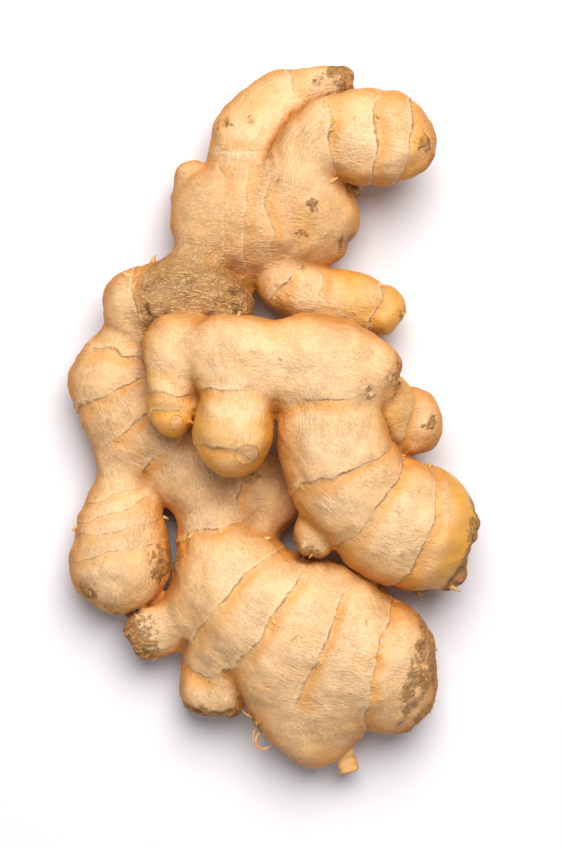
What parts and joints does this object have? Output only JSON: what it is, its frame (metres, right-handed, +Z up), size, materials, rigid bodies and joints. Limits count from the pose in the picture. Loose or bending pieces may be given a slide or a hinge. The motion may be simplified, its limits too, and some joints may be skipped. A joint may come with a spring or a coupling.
{
  "type": "ginger root",
  "caption": "Fresh ginger root lying on its side: an old fibrous knob with a curved arc and thick knobbly fingers growing from it in two layers",
  "frame": {"origin": "bottom centre of the root's box, on the surface it rests on", "axes": "+Z up from the surface, +Y along the root's length towards the upper fingers, +X towards the big finger's end"},
  "size_m": [0.105, 0.1796, 0.0429],
  "materials": {
    "ginger_skin": "matte papery skin"
  },
  "bodies": {
    "root": {"ginger_root": "ginger_skin"}
  },
  "joints": []
}
